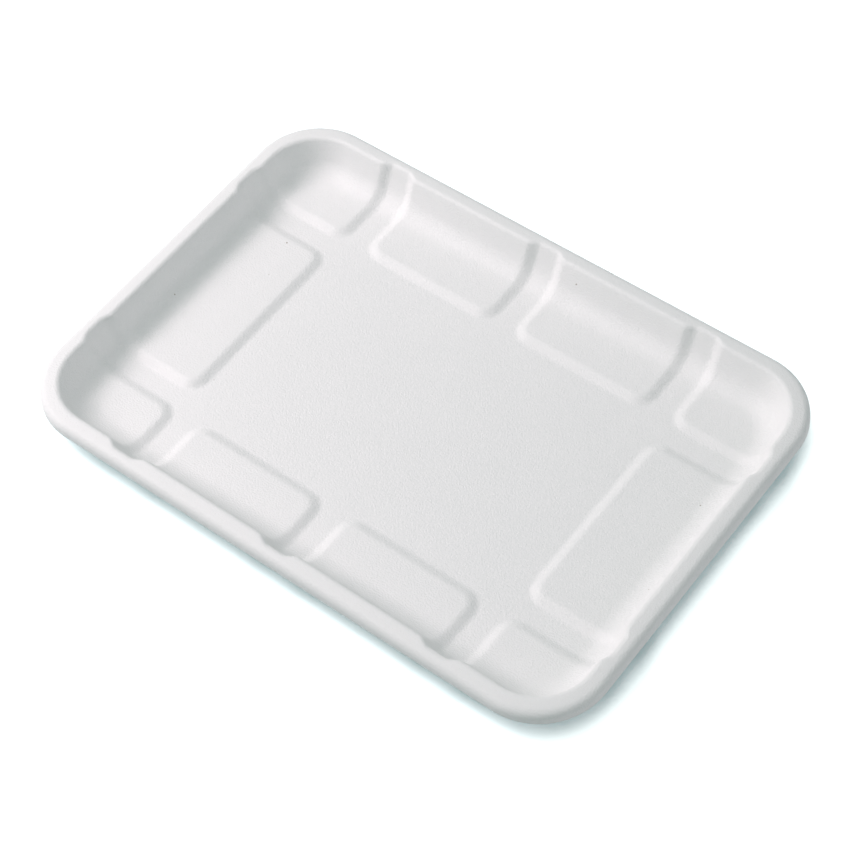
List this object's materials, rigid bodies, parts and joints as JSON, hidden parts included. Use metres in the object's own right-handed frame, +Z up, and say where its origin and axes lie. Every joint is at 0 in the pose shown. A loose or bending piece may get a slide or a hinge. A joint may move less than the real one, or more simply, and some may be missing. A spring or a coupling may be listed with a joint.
{
  "type": "bagasse food tray",
  "caption": "Shallow rectangular food tray of moulded plant fibre, with raised panels round a flat floor, grooves between them and a rolled rim.",
  "frame": {"origin": "centre of the outline, at the level of the underside", "axes": "+X along the length, +Y along the width, +Z up out of the open side"},
  "size_m": [0.2096, 0.146, 0.014],
  "materials": {
    "moulded_fibre": "matte"
  },
  "bodies": {
    "root": {"tray": "moulded_fibre"}
  },
  "joints": []
}
